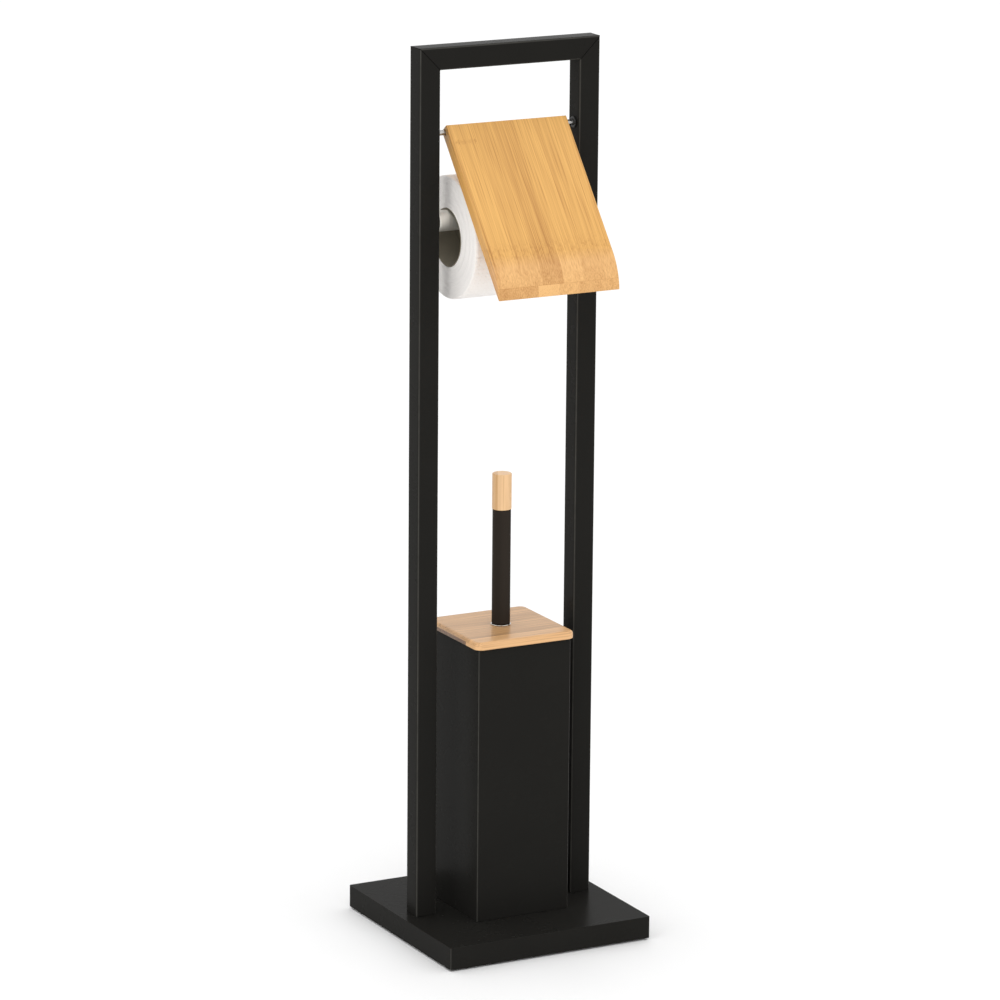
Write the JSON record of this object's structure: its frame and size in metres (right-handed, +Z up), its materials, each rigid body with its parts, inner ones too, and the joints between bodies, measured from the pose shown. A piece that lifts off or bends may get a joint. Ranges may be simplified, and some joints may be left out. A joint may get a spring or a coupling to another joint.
{
  "type": "toilet paper holder",
  "caption": "Free-standing toilet paper holder with a brush set: square-tube frame on a weighted base, hinged flap over a roll on a sprung spindle, lidded brush canister.",
  "frame": {"origin": "on the floor at the middle of the base", "axes": "+Z up, +X to the right along the frame, -Y to the front, where the flap leans out"},
  "size_m": [0.2, 0.2021, 0.8021],
  "materials": {
    "black_powder_coat": "satin black powder coat",
    "steel": "plain steel",
    "brushed_steel": "brushed along its length",
    "bamboo": "laminated bamboo, clear satin lacquer",
    "toilet_paper": "soft matt tissue",
    "core_cardboard": "grey-brown cardboard",
    "cast_concrete": "rough cast",
    "black_plastic": "matt",
    "grey_plastic": "satin moulded",
    "white_plastic": "satin moulded",
    "white_bristle": "bristles",
    "black_rubber": "matt"
  },
  "bodies": {
    "stand": {"base_cover": "black_powder_coat", "base_weight": "cast_concrete", "base_bottom": "black_plastic", "left_upright": "black_powder_coat", "right_upright": "black_powder_coat", "top_bar": "black_powder_coat", "flap_rod": "steel", "spindle_outer": "brushed_steel", "spindle_spring": "steel", "canister": "black_powder_coat", "canister_liner": "grey_plastic", "foot_front_left": "black_rubber", "foot_front_right": "black_rubber", "foot_back_left": "black_rubber", "foot_back_right": "black_rubber", "upright_plug_left": "steel", "frame_washer_left": "steel", "frame_bolt_left": "steel", "canister_screw_left": "steel", "canister_nut_left": "steel", "rod_bush_left": "black_plastic", "upright_plug_right": "steel", "frame_washer_right": "steel", "frame_bolt_right": "steel", "canister_screw_right": "steel", "canister_nut_right": "steel", "rod_bush_right": "black_plastic"},
    "flap": {"flap_board": "bamboo"},
    "roll": {"paper_roll": "toilet_paper", "paper_core": "core_cardboard"},
    "spindle_end": {"spindle_inner": "brushed_steel"},
    "brush": {"lid": "bamboo", "handle_washer": "steel", "handle_tube": "black_powder_coat", "handle_plug": "steel", "handle_grip": "bamboo", "brush_stem": "steel", "brush_head": "white_plastic", "brush_bristles": "white_bristle"}
  },
  "joints": [
    {"name": "flap_hinge", "type": "hinge", "parent": "stand", "child": "flap", "pos_m": [0, 0, 0.726], "axis": [-1, 0, 0], "range_deg": [0, 120]},
    {"name": "roll_spin", "type": "hinge", "parent": "stand", "child": "roll", "pos_m": [0, 0, 0.6336], "axis": [1, 0, 0], "continuous": true},
    {"name": "spindle_press", "type": "slide", "parent": "stand", "child": "spindle_end", "axis": [-1, 0, 0], "range_m": [0, 0.008], "stiffness_N_per_m": 250, "springref_m": -0.02, "deforming": ["spindle_spring"]},
    {"name": "brush_lift", "type": "slide", "parent": "stand", "child": "brush", "axis": [0, 0, 1], "range_m": [0, 0.15]}
  ]
}
